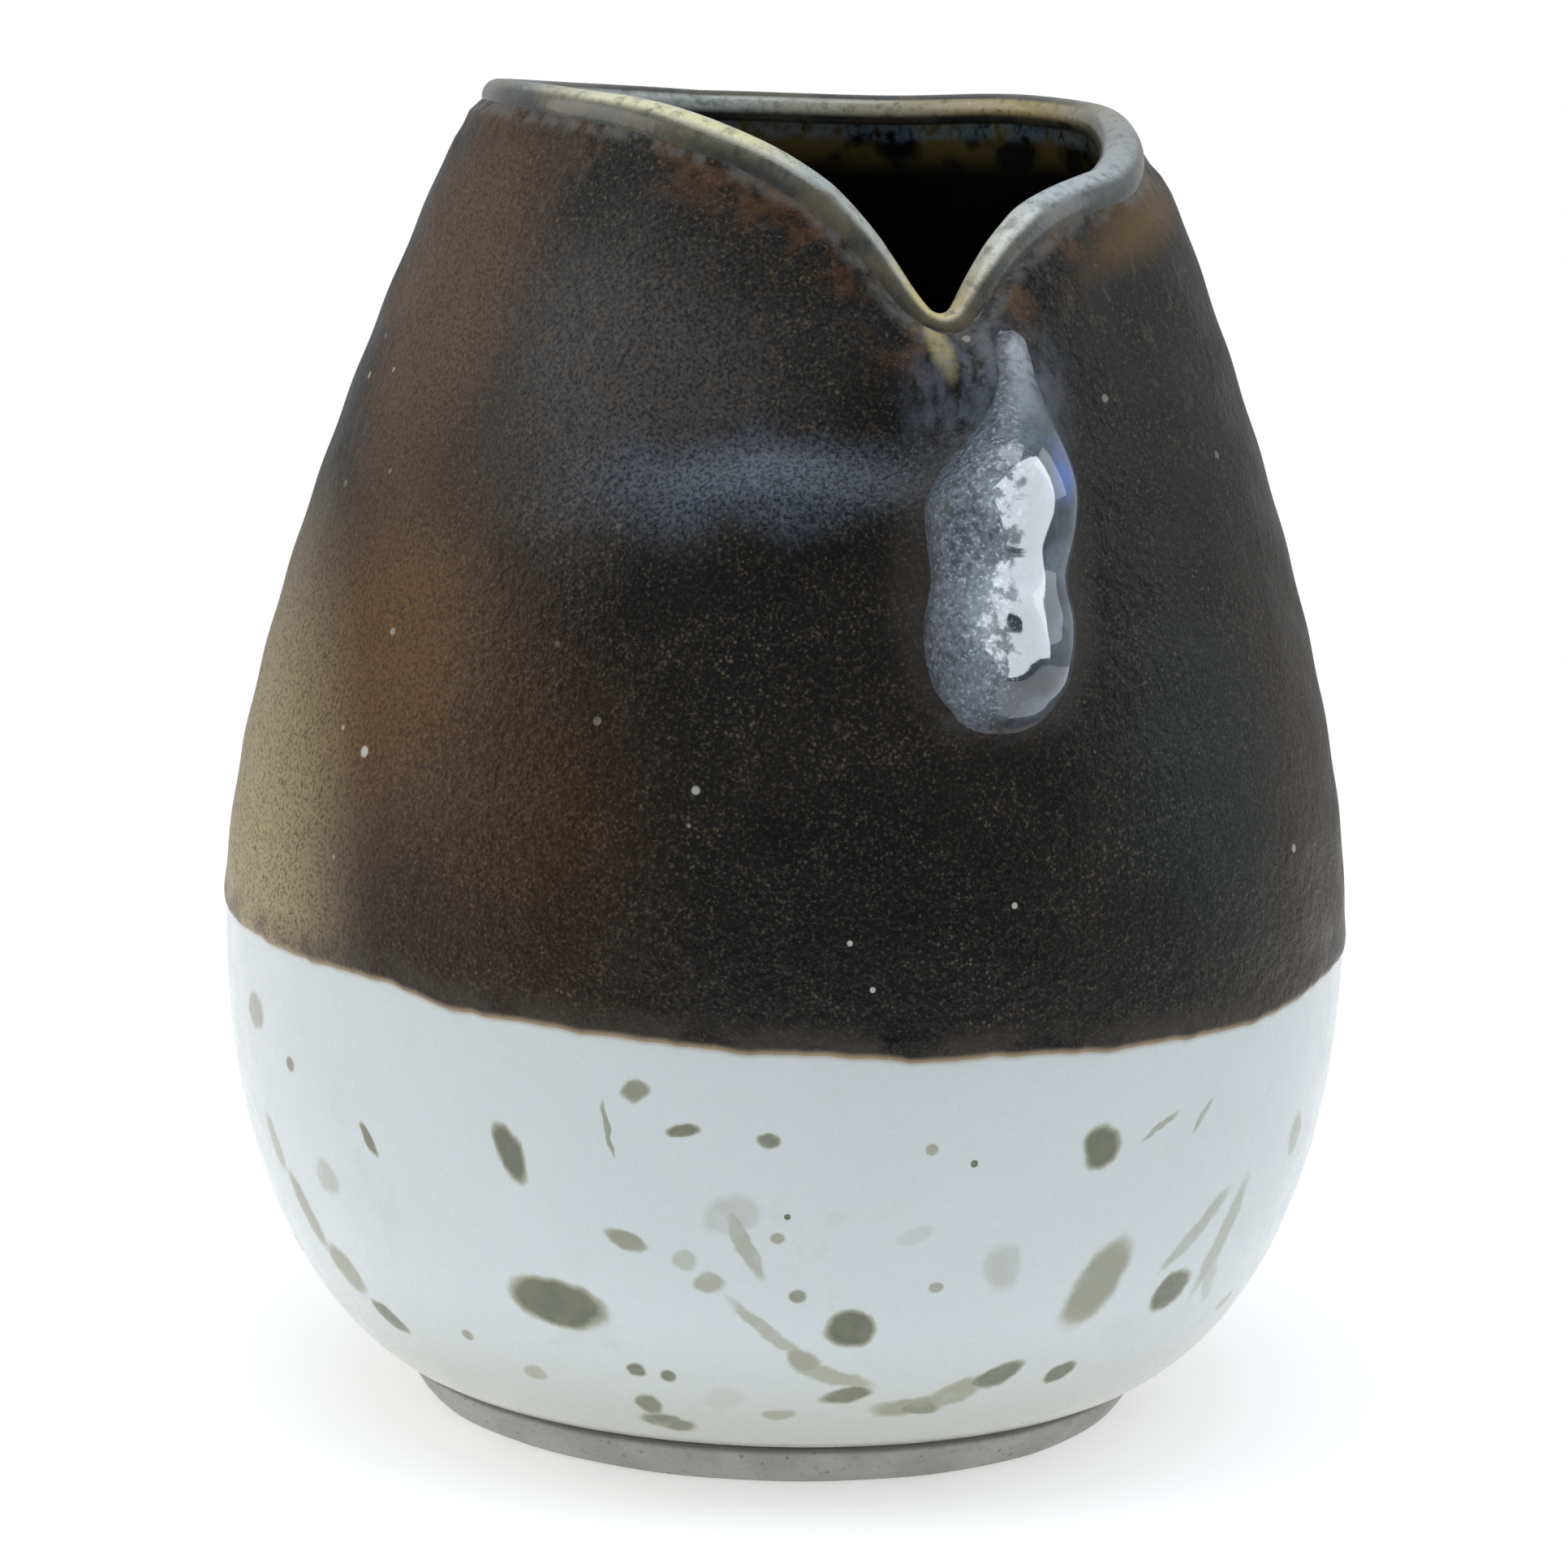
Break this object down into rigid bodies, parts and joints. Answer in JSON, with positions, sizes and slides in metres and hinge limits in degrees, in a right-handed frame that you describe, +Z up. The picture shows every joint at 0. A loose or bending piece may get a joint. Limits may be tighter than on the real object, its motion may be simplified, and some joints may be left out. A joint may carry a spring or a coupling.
{
  "type": "sake bottle",
  "caption": "Squat egg-shaped stoneware sake bottle with a wide rolled mouth, a lapped V notch for pouring and an applied teardrop below it.",
  "frame": {"origin": "centre of the foot ring, on the surface that the pot stands on", "axes": "+Z up along the pot; -Y is the front, where the notch and the teardrop are; +X is to the right seen from the front"},
  "size_m": [0.092, 0.092, 0.1089],
  "materials": {
    "bare_clay": "matte, unglazed stoneware",
    "clay_body": "matte, covered by glaze",
    "lip_glaze": "gloss, broken ochre and blue-grey over brown",
    "white_glaze": "satin, with olive-grey brushed spots",
    "brown_glaze": "satin gloss, fine orange peel",
    "black_glaze": "high gloss",
    "pooled_glaze": "high gloss, glassy"
  },
  "bodies": {
    "root": {"foot_ring": "bare_clay", "body_wall": "clay_body", "rim_roll": "lip_glaze", "teardrop": "clay_body", "lower_glaze": "white_glaze", "upper_glaze": "brown_glaze", "liner_glaze": "black_glaze", "teardrop_glaze": "pooled_glaze"}
  },
  "joints": []
}
